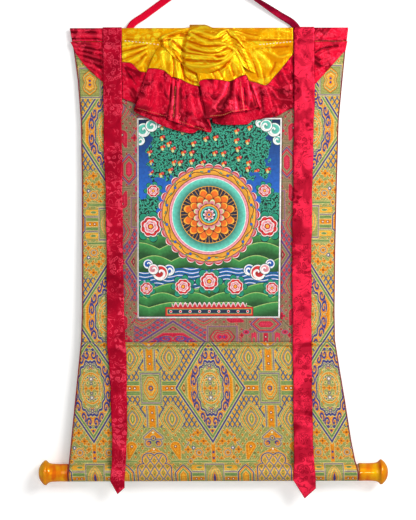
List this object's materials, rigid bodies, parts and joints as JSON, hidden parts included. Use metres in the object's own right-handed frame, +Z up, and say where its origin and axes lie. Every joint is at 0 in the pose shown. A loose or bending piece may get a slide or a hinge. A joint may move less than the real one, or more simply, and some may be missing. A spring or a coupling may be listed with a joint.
{
  "type": "thangka scroll painting with roller",
  "caption": "Scroll painting in a silk brocade mount that hangs by a tape, with a silk cover gathered up over its top, ribbons down its face and a knobbed roller in its lower hem.",
  "frame": {"origin": "the underside of the hanging tape, where a nail in the wall carries it", "axes": "+Z up, -Y out of the painted face towards the room, +Y towards the wall, +X to the viewer's right"},
  "size_m": [0.7995, 0.0592, 1.2112],
  "materials": {
    "painted_canvas": "matt distemper paint on sized cotton",
    "border_brocade": "olive brocade with crimson and purple figures",
    "gold_brocade": "satin-ground brocade in orange-gold, sage and indigo",
    "red_binding": "narrow dark red cotton edging",
    "red_damask": "crimson silk damask",
    "yellow_silk": "thin glossy yellow silk with a faint damask",
    "ribbon_damask": "crimson silk damask with lighter satin figures",
    "red_tape": "flat woven red cotton tape",
    "plain_wood": "plain turned softwood",
    "amber_lacquer": "turned wood under glossy amber lacquer"
  },
  "bodies": {
    "root": {"painting_canvas": "painted_canvas", "border_top": "border_brocade", "border_bottom": "border_brocade", "border_left": "border_brocade", "border_right": "border_brocade", "panel_top": "gold_brocade", "panel_left": "gold_brocade", "panel_right": "gold_brocade", "panel_bottom": "gold_brocade", "binding_left": "red_binding", "binding_right": "red_binding", "heading_left": "red_damask", "heading_right": "red_damask", "veil_hem": "red_damask", "veil_side_left": "red_damask", "veil_side_right": "red_damask", "heading_middle": "yellow_silk", "veil_field": "yellow_silk", "ribbon_left": "ribbon_damask", "ribbon_right": "ribbon_damask", "hanging_tape": "red_tape", "roller_rod": "plain_wood", "knob_left": "amber_lacquer", "knob_right": "amber_lacquer"}
  },
  "joints": []
}
